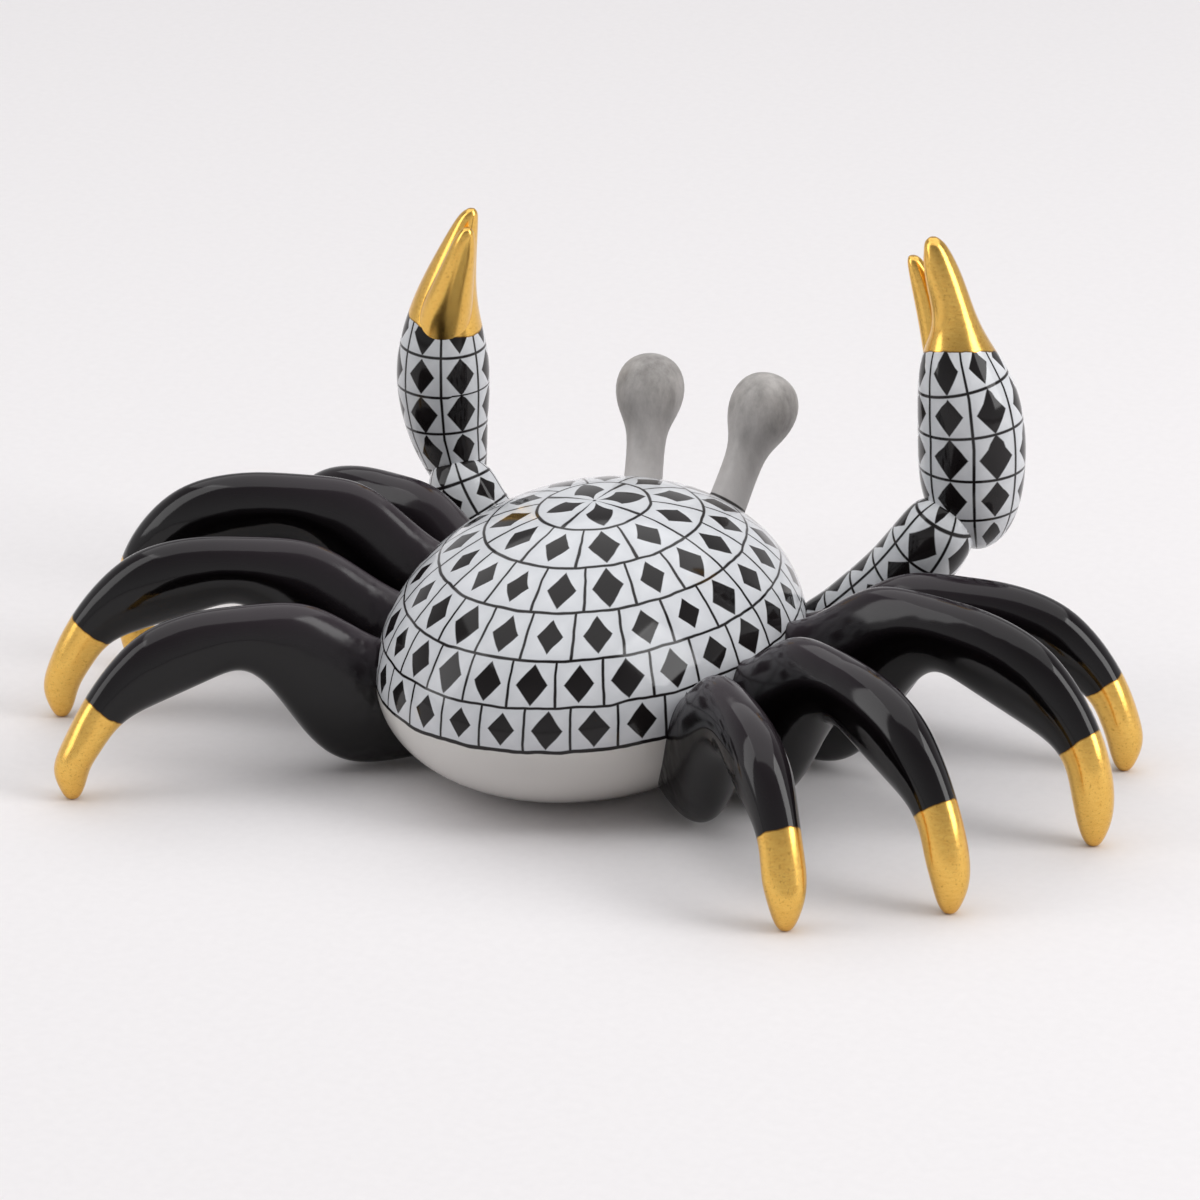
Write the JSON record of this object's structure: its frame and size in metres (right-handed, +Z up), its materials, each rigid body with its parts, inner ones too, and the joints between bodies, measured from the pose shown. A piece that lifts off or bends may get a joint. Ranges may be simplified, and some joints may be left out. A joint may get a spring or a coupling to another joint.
{
  "type": "crab figurine",
  "caption": "Glazed porcelain crab with arched legs on gilded toes, raised claws and stalked eyes; a free-standing shelf ornament.",
  "frame": {"origin": "centre of the flat foot under the body, on the table", "axes": "+Z up, eyes and claws towards -Y, the crab's own left towards +X"},
  "size_m": [0.1233, 0.0789, 0.0564],
  "materials": {
    "painted_glaze": "white porcelain under clear glaze, painted with fine black lines",
    "black_glaze": "glossy plum-black glaze, with gilded toes",
    "gilding": "burnished gold fired on over the glaze",
    "eye_bisque": "matt grey wash on unglazed porcelain"
  },
  "bodies": {
    "root": {"body_shell": "painted_glaze", "leg_left_1": "black_glaze", "leg_left_2": "black_glaze", "leg_left_3": "black_glaze", "leg_left_4": "black_glaze", "arm_left": "painted_glaze", "hand_left": "painted_glaze", "finger_left": "gilding", "eye_left": "eye_bisque", "leg_right_1": "black_glaze", "leg_right_2": "black_glaze", "leg_right_3": "black_glaze", "leg_right_4": "black_glaze", "arm_right": "painted_glaze", "hand_right": "painted_glaze", "finger_right": "gilding", "eye_right": "eye_bisque"}
  },
  "joints": []
}
